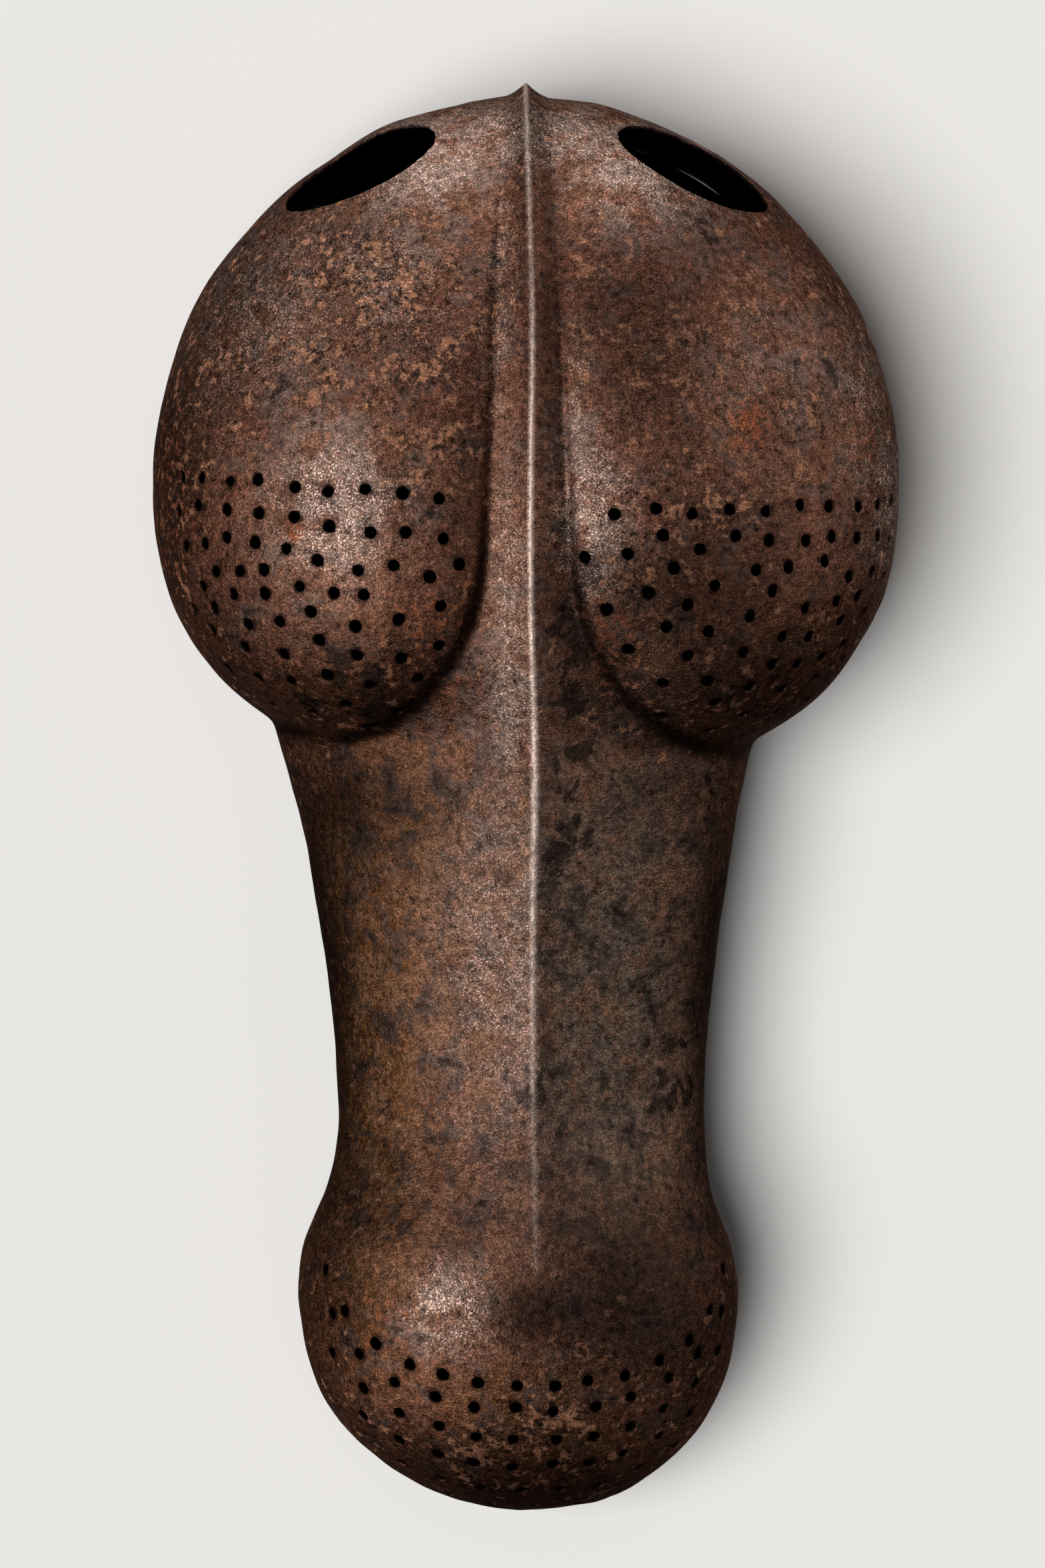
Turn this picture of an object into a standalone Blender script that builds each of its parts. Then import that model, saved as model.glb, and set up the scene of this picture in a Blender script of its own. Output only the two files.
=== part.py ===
"""A chanfron: the steel head defence of a war horse, raised from one plate.

The plate lies on the edge of its open back, front up: +X is to the right seen from the front, +Y runs
from the nose to the poll and +Z points out of the horse's face. The origin is the middle of the footprint.
Metres.

The outer face is one surface. Ribs fan out from a spine that lies on the floor under the keel, and each rib's
points are found along rays: a base (neck, nose and the channel floor), a round head over it, the head let
through only inside the two eye domes, and the keel on top. The plate is then thickened inwards, trimmed flat,
arched along the sides, and the ear holes and the sight and breath holes are punched through it.
"""

import math
from collections import namedtuple

import bmesh
import bpy
import numpy as np
from mathutils import Matrix, Vector

# ---------------------------------------------------------------- driving dimensions
PLATE = 0.0015  # thickness of the steel

# The head bulge: left and right are half widths, nose and poll half lengths, from the centre (x, y). The
# nose length grows by nose_skew towards +X over skew_over, and nose_section fills the sections towards the
# nose. Every shape here is widest at its waist, rises in front of it and tucks in a little below it.
HEAD = dict(
    x=0.0, y=0.146, left=0.1672, right=0.1666, nose=0.136, poll=0.1675, nose_skew=0.002, skew_over=0.100,
    nose_power=2.5, poll_power=1.92, section_power=2.3, nose_section=0.7,
)
HEAD_WAIST, HEAD_RISE = 0.060, 0.122
FACE_WAIST = 0.046
TUCK = 0.03

# Sections of the neck and the nose: half widths, height of the front, and how blunt the fold along it is.
FACE_COLUMNS = ("y", "left", "right", "front", "fold")
FACE = (
    (-0.220, 0.1026, 0.0958, 0.130, 2.10),
    (-0.200, 0.0998, 0.0914, 0.129, 2.00),
    (-0.175, 0.0900, 0.0826, 0.122, 1.75),
    (-0.150, 0.0848, 0.0806, 0.116, 1.55),
    (-0.110, 0.0862, 0.0814, 0.118, 1.50),
    (-0.060, 0.0926, 0.0868, 0.127, 1.50),
    (-0.020, 0.0996, 0.0928, 0.135, 1.50),
    (0.020, 0.1100, 0.1004, 0.141, 1.50),
    (0.060, 0.1210, 0.1090, 0.145, 1.50),
)
FACE_ROUND = 2.4
NOSE_LENGTH, NOSE_POWER, NOSE_DRIFT = 0.1000, 2.12, 0.001
NECK_TO, NECK_CLOSES_OVER = 0.120, 0.070

# Along the middle line: where the keel runs, how high and how wide it stands, and how far
# the channel floor beside it lies under the head's own surface.
KEEL_COLUMNS = ("station", "x", "height", "spread", "channel")
KEEL = (
    (-0.215, 0.0046, 0.0000, 0.030, 0.020),
    (-0.190, 0.0040, 0.0018, 0.026, 0.020),
    (-0.140, 0.0031, 0.0040, 0.022, 0.020),
    (-0.060, 0.0029, 0.0052, 0.022, 0.020),
    (0.020, 0.0036, 0.0075, 0.018, 0.020),
    (0.090, 0.0018, 0.0115, 0.013, 0.018),
    (0.140, 0.0018, 0.0120, 0.011, 0.015),
    (0.200, 0.0024, 0.0110, 0.009, 0.009),
    (0.260, 0.0009, 0.0090, 0.007, 0.003),
    (0.320, -0.0006, 0.0085, 0.006, 0.001),
    (0.400, -0.0006, 0.0060, 0.006, 0.001),
)

# The eye domes: an egg-shaped outline seen from the front, with its lower end towards the nose.
# inner, outer and lower are its reaches from (x, y); the inner one grows by widens over WIDENS_OVER of y.
Dome = namedtuple("Dome", "side x y inner outer lower widens")
DOMES = (
    Dome(-1, -0.092, 0.110, 0.074, 0.080, 0.086, 0.008),
    Dome(1, 0.092, 0.108, 0.073, 0.080, 0.088, 0.008),
)
# How full a dome is on the keel's side and on the outer side, the steepness of its edge, and the way from the
# one fullness to the other.
INNER_FULLNESS, OUTER_FULLNESS, DOME_STEEPNESS, FULLER_OVER = 2.6, 14.0, 2.2, 0.040
WIDENS_OVER = 0.190

# The spine: upright ribs between SPINE_NOSE and SPINE_POLL, leaning ones beyond.
SPINE_NOSE, SPINE_POLL = -0.200, 0.170
NOSE_END, POLL_END = -0.250, 0.240
NOSE_ARC, POLL_ARC = 0.170, 0.230
BELOW_FLOOR = math.radians(3.5)
KEEL_SHARPNESS = 1.15
BLEND = 0.016  # the smooth join of the neck and the channel floor
REACH, HALVINGS = 0.400, 26  # how far a ray is followed, and how often the reach is halved on its way

# Mesh: columns on each side of the keel, and the spacing of the ribs.
COLUMNS = 11
COLUMN_BIAS, COLUMN_POWER = 0.18, 2.0
RIB_SPACING, CLOSE_SPACING = 0.0270, 0.0110
CLOSE_AT, CLOSE_OVER = 0.045, 0.055

# Cuts: the ear holes, the arch of the edge along the neck and the level trim of the whole edge.
EAR_CENTRE = (0.0736, 0.2764, 0.115)
EAR_AXIS, EAR_ROLL = (0.411, 0.748, 0.521), math.radians(14)
EAR_HALF_LENGTH, EAR_HALF_HEIGHT = 0.0372, 0.0250
EAR_SIDES = 16
EAR_BAR = 0.050
ARCH_MIDDLE, ARCH_HALF_SPAN, ARCH_RISE = -0.065, 0.090, 0.014
ARCH_ACROSS, ARCH_SIDES = 0.400, 96
TRIM_DEPTH = 0.200

# Rows of punched sight holes in the eye domes: the degrees from the upright at a row's inner and outer ends,
# and y of each of its holes, from the inner end.
SightRow = namedtuple("SightRow", "side inner outer ys")
SIGHT_ROWS = (
    SightRow(-1, 12, 51.5, (0.128, 0.130, 0.132, 0.132, 0.134, 0.137, 0.138, 0.139, 0.140)),
    SightRow(-1, 11.5, 52.5, (0.111, 0.114, 0.114, 0.117, 0.121, 0.123, 0.125, 0.127, 0.125)),
    SightRow(-1, 9.5, 51.5, (0.100, 0.094, 0.100, 0.098, 0.102, 0.108, 0.111, 0.113, 0.111, 0.110)),
    SightRow(-1, 22.5, 45.5, (0.087, 0.088, 0.091, 0.099, 0.099, 0.099)),
    SightRow(-1, 12.5, 48.5, (0.082, 0.077, 0.074, 0.081, 0.088, 0.089, 0.093)),
    SightRow(-1, 14, 52, (0.065, 0.060, 0.061, 0.068, 0.076, 0.076, 0.083, 0.083)),
    SightRow(-1, 18, 49, (0.051, 0.049, 0.053, 0.063, 0.066, 0.074)),
    SightRow(-1, 23, 50, (0.038, 0.040, 0.051, 0.052, 0.057)),
    SightRow(-1, 29, 45, (0.031, 0.037, 0.040)),
    SightRow(1, 11.5, 58, (0.122, 0.124, 0.122, 0.124, 0.124, 0.126, 0.127, 0.127, 0.129, 0.131)),
    SightRow(1, 8, 58, (0.103, 0.105, 0.112, 0.106, 0.112, 0.111, 0.112, 0.114, 0.113, 0.115, 0.114)),
    SightRow(1, 19.5, 58, (0.098, 0.091, 0.098, 0.100, 0.103, 0.097, 0.100, 0.097)),
    SightRow(1, 10.5, 21.5, (0.081, 0.088, 0.083)),
    SightRow(1, 34, 50, (0.089, 0.083, 0.086, 0.089)),
    SightRow(1, 19, 53, (0.074, 0.071, 0.078, 0.070, 0.070, 0.077, 0.082)),
    SightRow(1, 14, 30, (0.064, 0.061, 0.063)),
    SightRow(1, 35.5, 50.5, (0.058, 0.058, 0.061, 0.068)),
    SightRow(1, 19.5, 53, (0.049, 0.051, 0.048, 0.047, 0.053, 0.061)),
    SightRow(1, 21.5, 49, (0.035, 0.042, 0.036, 0.037, 0.043)),
    SightRow(1, 31, 39.5, (0.029, 0.027)),
)

# Rows of punched breath holes round the nose, which climb at both ends.
BreathRow = namedtuple("BreathRow", "station climb left right count")
BREATH_ROWS = (
    BreathRow(-0.2365, 0.030, -0.50, 0.49, 14),
    BreathRow(-0.2440, 0.028, -0.47, 0.46, 12),
    BreathRow(-0.2535, 0.024, -0.47, 0.46, 12),
    BreathRow(-0.2640, 0.022, -0.40, 0.38, 10),
    BreathRow(-0.2765, 0.020, -0.34, 0.36, 8),
    BreathRow(-0.2890, 0.016, -0.24, 0.24, 5),
)
BREATH_CLIMB_AT = 0.5
HOLE_RADIUS, HOLE_SPREAD, HOLE_SIDES = 0.0026, 0.10, 5
STRAY_STATION, STRAY_ACROSS = 0.0007, 0.005
PUNCH_LENGTH = 0.010
NORMAL_STEP = 0.001
SEED = 7

IRON_COLOUR, IRON_METALLIC, IRON_ROUGHNESS = (0.115, 0.066, 0.045, 1.0), 0.6, 0.5


def column(table, names, name, at):
    """A column of a table, read at the places in at along its first column by a smooth curve."""
    rows = np.array(table, float)
    xs, ys = rows[:, 0], rows[:, names.index(name)]
    slopes = np.gradient(ys, xs)
    at = np.clip(at, xs[0], xs[-1])
    i = np.clip(np.searchsorted(xs, at) - 1, 0, len(xs) - 2)
    h = xs[i + 1] - xs[i]
    t = (at - xs[i]) / h
    return (
        (1 + 2 * t) * (1 - t) ** 2 * ys[i]
        + t * (1 - t) ** 2 * h * slopes[i]
        + t**2 * (3 - 2 * t) * ys[i + 1]
        + t**2 * (t - 1) * h * slopes[i + 1]
    )


def above_and_below(z, waist, rise):
    """The height over a waist as a share of the rise there, and how far the tuck under it draws in."""
    up = np.maximum(z - waist, 0) / rise
    down = np.maximum(waist - z, 0) / waist
    return up, 1 - TUCK * down**2


def head_value(x, y, z):
    """Below zero inside the head bulge."""
    dx, dy = x - HEAD["x"], y - HEAD["y"]
    across = np.abs(dx) / np.where(dx < 0, HEAD["left"], HEAD["right"])
    nose = HEAD["nose"] + HEAD["nose_skew"] * np.clip(dx / HEAD["skew_over"], -1, 1)
    along = np.abs(dy) / np.where(dy < 0, nose, HEAD["poll"])
    power = np.where(dy < 0, HEAD["nose_power"], HEAD["poll_power"])
    plan = (across**power + along**power) ** (1 / power)
    up, drawn = above_and_below(z, HEAD_WAIST, HEAD_RISE)
    towards_nose = np.where(dy < 0, along / np.maximum(plan, 1e-9), 0)
    section = HEAD["section_power"] + HEAD["nose_section"] * towards_nose**2
    return (plan / drawn) ** section + up**section - 1


def face_value(x, y, z):
    """Below zero inside the neck and nose, whose sections follow their table and close round at the nose."""
    left, right, front, fold = (column(FACE, FACE_COLUMNS, name, y) for name in FACE_COLUMNS[1:])
    past_nose = np.maximum(FACE[0][0] - y, 0) / NOSE_LENGTH
    middle = column(KEEL, KEEL_COLUMNS, "x", y) - NOSE_DRIFT * past_nose
    across = np.abs(x - middle) / np.where(x < middle, left + middle, right - middle)
    plan = (across**NOSE_POWER + past_nose**NOSE_POWER) ** (1 / NOSE_POWER)
    up, drawn = above_and_below(z, FACE_WAIST, front - FACE_WAIST)
    past_neck = np.maximum(y - NECK_TO, 0) / NECK_CLOSES_OVER
    return (plan / drawn) ** fold + up**FACE_ROUND + past_neck**2 - 1


def radius_of(value, origin, direction):
    """How far each ray from inside a shape runs before it leaves it, or 0 where it starts outside."""
    low = np.zeros(origin.shape[1:])
    high = np.full_like(low, REACH)
    for _ in range(HALVINGS):
        middle = (low + high) / 2
        inside = value(*(origin + middle * direction)) < 0
        low, high = np.where(inside, middle, low), np.where(inside, high, middle)
    return low


def smooth_max(a, b, blend):
    near = np.maximum(blend - np.abs(a - b), 0) / blend
    return np.maximum(a, b) + near**2 * blend / 4


def dome_share(x, y):
    """1 well inside an eye dome, 0 outside both, falling steeply at their outlines."""
    share = np.zeros_like(x)
    for dome in DOMES:
        inner = dome.inner + dome.widens * np.clip((y - dome.y) / WIDENS_OVER, 0, 1)
        down = np.maximum(dome.y - y, 0) / dome.lower
        out = dome.side * (x - dome.x)
        towards = np.where(out < 0, -out / inner, out / dome.outer * np.minimum(down, 1))
        edge = np.minimum(np.sqrt(towards**2 + down**2), 1)
        fullness = INNER_FULLNESS + (OUTER_FULLNESS - INNER_FULLNESS) * np.clip(1 + out / FULLER_OVER, 0, 1)
        share = np.maximum(share, (1 - edge**fullness) ** (1 / DOME_STEEPNESS))
    return share


def rays(stations, across):
    """Origins on the spine and directions, for stations of the spine and places across, from -1 to 1.

    Past the spine's ends the ribs lean and their feet draw together, so the grid's four corners stand on the
    rounded outline and its whole border lies just under the floor.
    """
    over = np.clip(stations - SPINE_POLL, 0, None) / POLL_ARC
    under = np.clip(SPINE_NOSE - stations, 0, None) / NOSE_ARC
    y = np.clip(stations, SPINE_NOSE, SPINE_POLL)
    y = y + over * (POLL_END - SPINE_POLL) + under * (NOSE_END - SPINE_NOSE)
    x = column(KEEL, KEEL_COLUMNS, "x", stations)
    q = over - under
    aside, ahead = across * np.sqrt(1 - q**2 / 2), q * np.sqrt(1 - across**2 / 2)
    out = np.hypot(aside, ahead)
    lean = out * (math.pi / 2 + BELOW_FLOOR)
    flat = np.sin(lean) / np.maximum(out, 1e-9)
    origin = np.array(np.broadcast_arrays(x, y, 0 * y, out)[:3])
    return origin, np.array([aside * flat, ahead * flat, np.cos(lean)])


def outer_face(stations, across):
    """Points of the outer face: x, y and z, each shaped as stations and across are together."""
    origin, direction = rays(stations, across)
    head = radius_of(head_value, origin, direction)
    face = radius_of(face_value, origin, direction)
    height, spread, channel = (column(KEEL, KEEL_COLUMNS, name, stations) for name in KEEL_COLUMNS[2:])
    base = smooth_max(face, np.maximum(head - channel, 0), BLEND)
    full = np.maximum(head, base)
    low, high = base.copy(), full.copy()
    for _ in range(HALVINGS):
        middle = (low + high) / 2
        x, y, _z = origin + middle * direction
        outside = middle > base + (full - base) * dome_share(x, y)
        low, high = np.where(outside, low, middle), np.where(outside, middle, high)
    radius = (low + high) / 2
    aside = np.abs(radius * direction[0])
    radius = radius + height * np.exp(-((aside / spread) ** KEEL_SHARPNESS))
    return origin + radius * direction


def face_normals(stations, across):
    """The outer face's normals, from small steps along it."""
    along = outer_face(stations + NORMAL_STEP, across) - outer_face(stations - NORMAL_STEP, across)
    aside = outer_face(stations, across + NORMAL_STEP) - outer_face(stations, across - NORMAL_STEP)
    normals = np.cross(aside, along, axis=0)
    return normals / np.linalg.norm(normals, axis=0)


def rib_stations():
    """Stations from the nose's edge to the poll's, closer together at the domes' lower ends."""
    stations = [SPINE_NOSE - NOSE_ARC]
    end = SPINE_POLL + POLL_ARC
    while stations[-1] < end:
        near = math.exp(-(((stations[-1] - CLOSE_AT) / CLOSE_OVER) ** 2))
        stations.append(stations[-1] + RIB_SPACING + (CLOSE_SPACING - RIB_SPACING) * near)
    first = stations[0]
    stretch = (end - first) / (stations[-1] - first)
    return np.array([first + (s - first) * stretch for s in stations])


def column_places():
    """Places across from -1 to 1, closer together at the keel."""
    t = np.arange(1, COLUMNS + 1) / COLUMNS
    half = COLUMN_BIAS * t + (1 - COLUMN_BIAS) * t**COLUMN_POWER
    return np.concatenate([-half[::-1], [0.0], half])


def make_collection(name):
    made = bpy.data.collections.new(name)
    bpy.context.scene.collection.children.link(made)
    return made


def add_object(name, bm, collection):
    mesh = bpy.data.meshes.new(name)
    bm.to_mesh(mesh)
    bm.free()
    obj = bpy.data.objects.new(name, mesh)
    collection.objects.link(obj)
    return obj


def add_cutter(name, bm, collection):
    obj = add_object(name, bm, collection)
    obj.hide_render = True
    obj.display_type = "WIRE"
    return obj


def face_sheet(collection):
    """The outer face as an open grid."""
    points = outer_face(rib_stations()[:, None], column_places()[None, :])
    _, ribs, columns = points.shape
    bm = bmesh.new()
    bmesh.ops.create_grid(bm, x_segments=columns - 1, y_segments=ribs - 1, size=1)
    bm.verts.ensure_lookup_table()
    for i, vert in enumerate(bm.verts):
        vert.co = points[:, i // columns, i % columns]
    bmesh.ops.triangulate(bm, faces=bm.faces)
    return add_object("face_plate", bm, collection)


def floor_trim(collection):
    """A block whose top is the floor: it trims the edge flat."""
    bm = bmesh.new()
    place = Matrix.Translation((0, 0, -TRIM_DEPTH / 2)) @ Matrix.Diagonal((1, 1, TRIM_DEPTH, 1))
    bmesh.ops.create_cube(bm, size=1, matrix=place)
    return add_cutter("floor_trim", bm, collection)


def side_arch(collection):
    """A round bar across the neck: it arches the edge on both sides."""
    radius = (ARCH_HALF_SPAN**2 + ARCH_RISE**2) / (2 * ARCH_RISE)
    bm = bmesh.new()
    across = Matrix.Rotation(math.pi / 2, 4, "Y") @ Matrix.Diagonal((radius, radius, ARCH_ACROSS, 1))
    place = Matrix.Translation((0, ARCH_MIDDLE, ARCH_RISE - radius)) @ across
    bmesh.ops.create_cone(
        bm, cap_ends=True, segments=ARCH_SIDES, radius1=1, radius2=1, depth=1, matrix=place
    )
    return add_cutter("side_arch", bm, collection)


def punch(bm, centre, axis, radius_a, radius_b, length, sides, roll=0.0):
    """Adds a closed bar to bm, elliptical, on its axis; radius_a is the level one, before the roll."""
    axis = Vector(axis).normalized()
    first = Vector((0, 0, 1)).cross(axis).normalized()
    second = axis.cross(first)
    turn = Matrix((first, second, axis)).transposed().to_4x4()
    rolled = Matrix.Rotation(roll, 4, "Z") @ Matrix.Diagonal((radius_a, radius_b, 1, 1))
    place = Matrix.Translation(centre) @ turn @ rolled
    bmesh.ops.create_cone(
        bm, cap_ends=True, segments=sides, radius1=1, radius2=1, depth=length, matrix=place
    )


def ear_holes(collection):
    bm = bmesh.new()
    for side in (-1, 1):
        centre = (side * EAR_CENTRE[0], *EAR_CENTRE[1:])
        axis = (side * EAR_AXIS[0], *EAR_AXIS[1:])
        punch(bm, centre, axis, EAR_HALF_LENGTH, EAR_HALF_HEIGHT, EAR_BAR, EAR_SIDES, side * EAR_ROLL)
    return add_cutter("ear_holes", bm, collection)


def hole_places():
    """Stations and places across of every punched hole, each strayed a little as by hand."""
    upright = math.degrees(math.pi / 2 + BELOW_FLOOR)
    stations, across = [], []
    for row in SIGHT_ROWS:
        stations.append(np.array(row.ys))
        across.append(row.side * np.linspace(row.inner, row.outer, len(row.ys)) / upright)
    for row in BREATH_ROWS:
        places = np.linspace(row.left, row.right, row.count)
        stations.append(row.station + row.climb * np.abs(places / BREATH_CLIMB_AT) ** 3)
        across.append(places)
    stations, across = np.concatenate(stations), np.concatenate(across)
    random = np.random.default_rng(SEED)
    stations = stations + STRAY_STATION * random.uniform(-1, 1, len(stations))
    across = across + STRAY_ACROSS * random.uniform(-1, 1, len(across))
    radii = HOLE_RADIUS * (1 + HOLE_SPREAD * random.uniform(-1, 1, len(across)))
    return stations, across, radii


def punched_holes(collection):
    stations, across, radii = hole_places()
    centres, normals = outer_face(stations, across), face_normals(stations, across)
    bm = bmesh.new()
    for centre, normal, radius in zip(centres.T, normals.T, radii):
        punch(bm, centre, normal, radius, radius, PUNCH_LENGTH, HOLE_SIDES)
    return add_cutter("punched_holes", bm, collection)


def cut(obj, cutter):
    boolean = obj.modifiers.new(cutter.name, "BOOLEAN")
    boolean.operation = "DIFFERENCE"
    boolean.object = cutter


def iron():
    material = bpy.data.materials.new("old_iron")
    material.use_nodes = True
    shader = material.node_tree.nodes["Principled BSDF"]
    shader.inputs["Base Color"].default_value = IRON_COLOUR
    shader.inputs["Metallic"].default_value = IRON_METALLIC
    shader.inputs["Roughness"].default_value = IRON_ROUGHNESS
    return material


def build():
    for obj in list(bpy.data.objects):
        bpy.data.objects.remove(obj)
    parts, cutters = make_collection("chanfron"), make_collection("cutters")
    plate = face_sheet(parts)
    plate.data.materials.append(iron())
    wall = plate.modifiers.new("wall", "SOLIDIFY")
    wall.thickness = PLATE
    wall.offset = -1
    for make_cutter in (floor_trim, side_arch, ear_holes, punched_holes):
        cut(plate, make_cutter(cutters))


build()
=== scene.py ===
"""Looks of a chanfron, the head defence of a war horse: its one raised plate in old iron, and the studio.

The plate lies on the edge of its open back, front up: +X is to the right seen from the front, +Y runs from
the nose to the poll and +Z points out of the horse's face. Metres throughout.
"""

import math
from collections import namedtuple

import bpy
import numpy as np
from bpy.props import FloatProperty, FloatVectorProperty, IntProperty, PointerProperty
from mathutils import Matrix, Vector


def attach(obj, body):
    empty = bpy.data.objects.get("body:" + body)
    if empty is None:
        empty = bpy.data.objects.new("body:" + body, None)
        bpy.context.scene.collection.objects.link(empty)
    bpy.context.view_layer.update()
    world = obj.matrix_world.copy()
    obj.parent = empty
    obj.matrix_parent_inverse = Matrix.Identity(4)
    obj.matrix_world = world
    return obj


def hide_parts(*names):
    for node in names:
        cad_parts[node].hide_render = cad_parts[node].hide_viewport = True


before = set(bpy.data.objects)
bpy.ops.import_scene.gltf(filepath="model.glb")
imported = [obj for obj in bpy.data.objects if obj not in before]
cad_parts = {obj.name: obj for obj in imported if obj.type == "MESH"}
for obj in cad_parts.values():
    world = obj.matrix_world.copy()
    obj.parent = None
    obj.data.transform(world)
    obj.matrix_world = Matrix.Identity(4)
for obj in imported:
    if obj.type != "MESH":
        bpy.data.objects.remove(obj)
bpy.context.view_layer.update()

bl_info = {
    "name": "Chanfron Looks",
    "version": (1, 0, 0),
    "blender": (4, 5, 0),
    "location": "View3D > Sidebar > Chanfron",
    "description": "Finishes the plate of a chanfron in old iron and sets up its studio",
    "category": "Object",
}

MM = 1000  # in a metre

# ------------ the plate's own sizes
# The head bulge: left and right are half widths, nose and poll half lengths, from the centre (x, y). The
# nose length grows by nose_skew towards +X over skew_over, and nose_section fills the sections towards the
# nose. Every shape here is widest at its waist, rises in front of it and tucks in a little below it.
HEAD = dict(
    x=0.0, y=0.146, left=0.1672, right=0.1666, nose=0.136, poll=0.1675, nose_skew=0.002, skew_over=0.100,
    nose_power=2.5, poll_power=1.92, section_power=2.3, nose_section=0.7,
)
HEAD_WAIST, HEAD_RISE = 0.060, 0.122
FACE_WAIST = 0.046
TUCK = 0.03

# Sections of the neck and the nose: half widths, height of the front, and how blunt the fold along it is.
FACE = (
    ("y", "left", "right", "front", "fold"),
    (-0.220, 0.1026, 0.0958, 0.130, 2.10),
    (-0.200, 0.0998, 0.0914, 0.129, 2.00),
    (-0.175, 0.0900, 0.0826, 0.122, 1.75),
    (-0.150, 0.0848, 0.0806, 0.116, 1.55),
    (-0.110, 0.0862, 0.0814, 0.118, 1.50),
    (-0.060, 0.0926, 0.0868, 0.127, 1.50),
    (-0.020, 0.0996, 0.0928, 0.135, 1.50),
    (0.020, 0.1100, 0.1004, 0.141, 1.50),
    (0.060, 0.1210, 0.1090, 0.145, 1.50),
)
FACE_ROUND = 2.4
NOSE_LENGTH, NOSE_POWER, NOSE_DRIFT = 0.1000, 2.12, 0.001
NECK_TO, NECK_CLOSES_OVER = 0.120, 0.070

# Along the middle line: where the keel runs, how high and how wide it stands, and how far
# the channel floor beside it lies under the head's own surface.
KEEL = (
    ("station", "x", "height", "spread", "channel"),
    (-0.215, 0.0046, 0.0000, 0.030, 0.020),
    (-0.190, 0.0040, 0.0018, 0.026, 0.020),
    (-0.140, 0.0031, 0.0040, 0.022, 0.020),
    (-0.060, 0.0029, 0.0052, 0.022, 0.020),
    (0.020, 0.0036, 0.0075, 0.018, 0.020),
    (0.090, 0.0018, 0.0115, 0.013, 0.018),
    (0.140, 0.0018, 0.0120, 0.011, 0.015),
    (0.200, 0.0024, 0.0110, 0.009, 0.009),
    (0.260, 0.0009, 0.0090, 0.007, 0.003),
    (0.320, -0.0006, 0.0085, 0.006, 0.001),
    (0.400, -0.0006, 0.0060, 0.006, 0.001),
)
KEEL_SHARPNESS = 1.15

# The eye domes: an egg-shaped outline seen from the front, with its lower end towards the nose.
# inner, outer and lower are its reaches from (x, y); the inner one grows by widens over WIDENS_OVER of y.
Dome = namedtuple("Dome", "side x y inner outer lower widens")
DOMES = (
    Dome(-1, -0.092, 0.110, 0.074, 0.080, 0.086, 0.008),
    Dome(1, 0.092, 0.108, 0.073, 0.080, 0.088, 0.008),
)
# How full a dome is on the keel's side and on the outer side, the steepness of its edge, and the way from the
# one fullness to the other.
INNER_FULLNESS, OUTER_FULLNESS, DOME_STEEPNESS, FULLER_OVER = 2.6, 14.0, 2.2, 0.040
WIDENS_OVER = 0.190
BLEND = 0.016  # the smooth join of the neck and the channel floor

# The spine on the floor under the keel: upright ribs between SPINE_NOSE and SPINE_POLL, leaning ones beyond.
SPINE_NOSE, SPINE_POLL = -0.200, 0.170
NOSE_END, POLL_END = -0.250, 0.240
NOSE_ARC, POLL_ARC = 0.170, 0.230
BELOW_FLOOR = math.radians(3.5)
REACH, HALVINGS, TINY = 0.400, 26, 1e-9
HALF_ARC = 0.245  # what a rib measures from the keel to its foot

# Cuts: the ear holes, the arch of the edge along the neck and the level trim of the whole edge.
EAR_CENTRE = (0.0736, 0.2764, 0.115)
EAR_AXIS, EAR_ROLL = (0.411, 0.748, 0.521), math.radians(14)
EAR_HALF_LENGTH, EAR_HALF_HEIGHT = 0.0372, 0.0250
EAR_BAR, EAR_SIDES, EAR_RAGGED = 0.050, 96, 0.012
ARCH_MIDDLE, ARCH_HALF_SPAN, ARCH_RISE, ARCH_SIDES = -0.065, 0.090, 0.014, 48
TRIM_DEPTH, TRIM_HALF_LENGTH, TRIM_HALF_WIDTH = 0.200, 0.600, 0.300

# Rows of punched sight holes in the eye dome at each side: the degrees from the upright at a row's inner and
# outer ends, and y of each of its holes in millimetres, from the inner end.
SIGHT_ROWS = {
    -1: (
        (12, 51.5, (128, 130, 132, 132, 134, 137, 138, 139, 140)),
        (11.5, 52.5, (111, 114, 114, 117, 121, 123, 125, 127, 125)),
        (9.5, 51.5, (100, 94, 100, 98, 102, 108, 111, 113, 111, 110)),
        (22.5, 45.5, (87, 88, 91, 99, 99, 99)),
        (12.5, 48.5, (82, 77, 74, 81, 88, 89, 93)),
        (14, 52, (65, 60, 61, 68, 76, 76, 83, 83)),
        (18, 49, (51, 49, 53, 63, 66, 74)),
        (23, 50, (38, 40, 51, 52, 57)),
        (29, 45, (31, 37, 40)),
    ),
    1: (
        (11.5, 58, (122, 124, 122, 124, 124, 126, 127, 127, 129, 131)),
        (8, 58, (103, 105, 112, 106, 112, 111, 112, 114, 113, 115, 114)),
        (19.5, 58, (98, 91, 98, 100, 103, 97, 100, 97)),
        (10.5, 21.5, (81, 88, 83)),
        (34, 50, (89, 83, 86, 89)),
        (19, 53, (74, 71, 78, 70, 70, 77, 82)),
        (14, 30, (64, 61, 63)),
        (35.5, 50.5, (58, 58, 61, 68)),
        (19.5, 53, (49, 51, 48, 47, 53, 61)),
        (21.5, 49, (35, 42, 36, 37, 43)),
        (31, 39.5, (29, 27)),
    ),
}

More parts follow.
